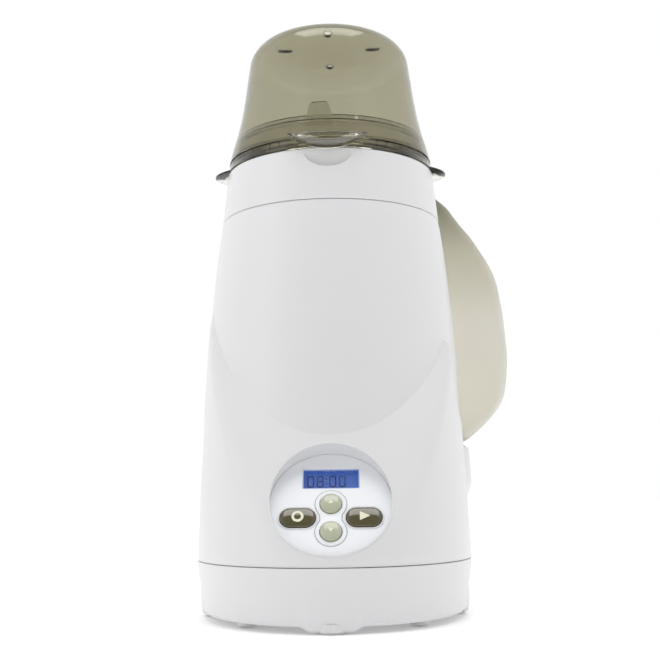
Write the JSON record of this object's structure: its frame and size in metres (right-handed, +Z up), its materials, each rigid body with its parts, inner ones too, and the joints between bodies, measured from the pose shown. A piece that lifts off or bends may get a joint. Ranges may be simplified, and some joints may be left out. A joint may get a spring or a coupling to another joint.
{
  "type": "baby bottle warmer",
  "caption": "Steam bottle warmer: tapered white housing with a sloped control panel, lift-out bottle basket, smoke dome cover and side water tank.",
  "frame": {"origin": "centre of the overall footprint, on the surface it stands on", "axes": "+Z up, -Y to the front with the control panel, +X to the side of the tank"},
  "size_m": [0.1612, 0.1746, 0.2923],
  "materials": {
    "white_shell": "smooth gloss white with a faint cool tint",
    "smoke_clear": "clear smoke tint, polished",
    "smoke_frosted": "frosted smoke tint, letting light through",
    "white_inner": "satin moulded",
    "silicone": "soft translucent white",
    "aluminium": "satin pressed",
    "steel": "zinc plated or bare",
    "dark_button": "dark olive, glossy",
    "sage_button": "pale grey-green, satin gloss",
    "circuit_board": "green solder mask",
    "black_plastic": "moulded",
    "foot_rubber": "soft grey",
    "display_lens": "clear window",
    "display_blue": "backlit blue display"
  },
  "bodies": {
    "body": {"main_housing": "white_shell", "base_tray": "white_shell", "collar_ring": "white_shell", "chamber_liner": "aluminium", "plate_seal": "silicone", "heating_plate": "aluminium", "heater_element": "steel", "thermostat": "black_plastic", "thermal_fuse": "steel", "power_board": "circuit_board", "relay": "black_plastic", "terminal_block": "white_inner", "cord_gland": "black_plastic", "foot_front": "foot_rubber", "foot_right": "foot_rubber", "foot_rear": "foot_rubber", "foot_left": "foot_rubber", "base_screw_1": "steel", "base_screw_2": "steel", "base_screw_3": "steel", "base_screw_4": "steel", "panel_bezel": "white_shell", "display_window": "display_lens", "button_surround": "white_shell", "control_board": "circuit_board", "lcd_module": "display_blue", "switch_stop": "black_plastic", "switch_start": "black_plastic", "switch_up": "black_plastic", "switch_down": "black_plastic", "buzzer": "black_plastic", "board_screw_1": "steel", "board_screw_2": "steel", "tank_socket": "white_inner"},
    "basket": {"bottle_basket": "smoke_clear", "basket_ring": "smoke_clear"},
    "cover": {"steam_cover": "smoke_clear"},
    "tank": {"water_tank": "smoke_frosted", "tank_base": "smoke_frosted"},
    "cap": {"tank_cap": "white_inner", "cap_gasket": "silicone", "valve_seal": "silicone", "valve_spring": "steel"},
    "valve": {"valve_stem": "white_inner"},
    "stop": {"stop_button": "dark_button"},
    "start": {"start_button": "dark_button"},
    "up": {"up_button": "sage_button"},
    "down": {"down_button": "sage_button"}
  },
  "joints": [
    {"name": "basket_lift", "type": "slide", "parent": "body", "child": "basket", "axis": [0, 0, 1], "range_m": [0, 0.13]},
    {"name": "cover_lift", "type": "slide", "parent": "basket", "child": "cover", "axis": [0, 0, 1], "range_m": [0, 0.09]},
    {"name": "tank_lift", "type": "slide", "parent": "body", "child": "tank", "axis": [0, 0, 1], "range_m": [0, 0.06]},
    {"name": "cap_turn", "type": "hinge", "parent": "tank", "child": "cap", "pos_m": [0.04618, 0.04283, 0.0783], "axis": [0, 0, 1], "range_deg": [0, 90]},
    {"name": "valve_lift", "type": "slide", "parent": "cap", "child": "valve", "axis": [0, 0, 1], "range_m": [0, 0.002], "stiffness_N_per_m": 100, "springref_m": -0.002, "deforming": ["valve_spring"]},
    {"name": "stop_press", "type": "slide", "parent": "body", "child": "stop", "axis": [0, 0.8572, -0.515], "range_m": [0, 0.0008], "stiffness_N_per_m": 500, "springref_m": -0.001},
    {"name": "start_press", "type": "slide", "parent": "body", "child": "start", "axis": [0, 0.8572, -0.515], "range_m": [0, 0.0008], "stiffness_N_per_m": 500, "springref_m": -0.001},
    {"name": "up_press", "type": "slide", "parent": "body", "child": "up", "axis": [0, 0.8572, -0.515], "range_m": [0, 0.0008], "stiffness_N_per_m": 500, "springref_m": -0.001},
    {"name": "down_press", "type": "slide", "parent": "body", "child": "down", "axis": [0, 0.8572, -0.515], "range_m": [0, 0.0008], "stiffness_N_per_m": 500, "springref_m": -0.001}
  ]
}
